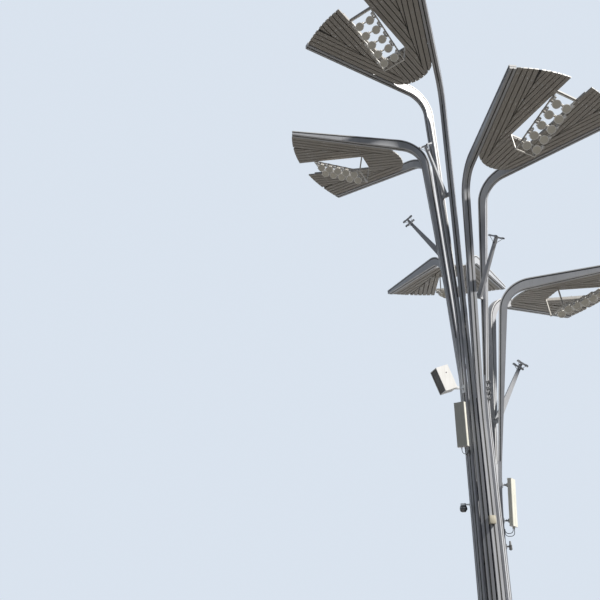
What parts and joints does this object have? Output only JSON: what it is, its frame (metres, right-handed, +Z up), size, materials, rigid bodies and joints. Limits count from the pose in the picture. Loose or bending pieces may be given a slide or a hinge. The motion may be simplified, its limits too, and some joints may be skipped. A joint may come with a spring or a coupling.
{
  "type": "sculptural street light",
  "caption": "Tall cluster stem of grooved steel bars that part and curve out in pairs, each pair carrying a slatted leaf with a hanging tray of floodlights.",
  "frame": {"origin": "middle of the base flange's underside", "axes": "+Z up the stem, +X along the middle of the lowest leaf, +Y towards the lower leaf's side"},
  "size_m": [12.2761, 12.4292, 22.1167],
  "materials": {
    "grey_paint": "satin grey paint on welded steel",
    "slat_paint": "satin warm grey paint",
    "lamp_body": "satin pale housing",
    "cable": "black cable jacket",
    "radome": "matte weathered beige grey",
    "speaker_white": "matte white",
    "camera_dark": "smoked gloss",
    "box_beige": "matte beige",
    "sensor_grey": "matte grey",
    "bracket_steel": "galvanised"
  },
  "bodies": {
    "stem": {"base_flange": "grey_paint", "central_mast": "grey_paint", "lowest_left_arm": "grey_paint", "lowest_right_arm": "grey_paint", "lowest_slats": "slat_paint", "lowest_backing": "slat_paint", "lowest_ribs": "grey_paint", "lowest_lamp_tray": "grey_paint", "lowest_floodlights": "lamp_body", "lowest_spot_arm": "grey_paint", "lower_left_arm": "grey_paint", "lower_right_arm": "grey_paint", "lower_slats": "slat_paint", "lower_backing": "slat_paint", "lower_ribs": "grey_paint", "lower_lamp_tray": "grey_paint", "lower_floodlights": "lamp_body", "lower_spot_arm": "grey_paint", "middle_left_arm": "grey_paint", "middle_right_arm": "grey_paint", "middle_slats": "slat_paint", "middle_backing": "slat_paint", "middle_ribs": "grey_paint", "middle_lamp_tray": "grey_paint", "middle_floodlights": "lamp_body", "middle_spot_arm": "grey_paint", "upper_left_arm": "grey_paint", "upper_right_arm": "grey_paint", "upper_slats": "slat_paint", "upper_backing": "slat_paint", "upper_ribs": "grey_paint", "upper_lamp_tray": "grey_paint", "upper_floodlights": "lamp_body", "upper_spot_arm": "grey_paint", "top_left_arm": "grey_paint", "top_right_arm": "grey_paint", "top_slats": "slat_paint", "top_backing": "slat_paint", "top_ribs": "grey_paint", "top_lamp_tray": "grey_paint", "top_floodlights": "lamp_body", "top_spot_arm": "grey_paint", "left_antenna": "radome", "left_antenna_brackets": "bracket_steel", "left_jumpers": "cable", "right_antenna": "radome", "right_antenna_brackets": "bracket_steel", "right_jumpers": "cable", "loudspeaker_bracket": "bracket_steel", "dome_camera_bracket": "bracket_steel", "junction_box": "box_beige", "sensor": "sensor_grey"},
    "loudspeaker_box": {"loudspeaker": "speaker_white"},
    "camera_ball": {"dome_camera": "camera_dark"}
  },
  "joints": [
    {"name": "loudspeaker_tilt", "type": "hinge", "parent": "stem", "child": "loudspeaker_box", "pos_m": [-0.74178, -0.19873, 9.31], "axis": [-0.0052, -1, 0], "range_deg": [-34, 20]},
    {"name": "camera_pan", "type": "hinge", "parent": "stem", "child": "camera_ball", "pos_m": [-0.67332, 0.18393, 5.565], "axis": [0, 0, 1], "continuous": true}
  ]
}
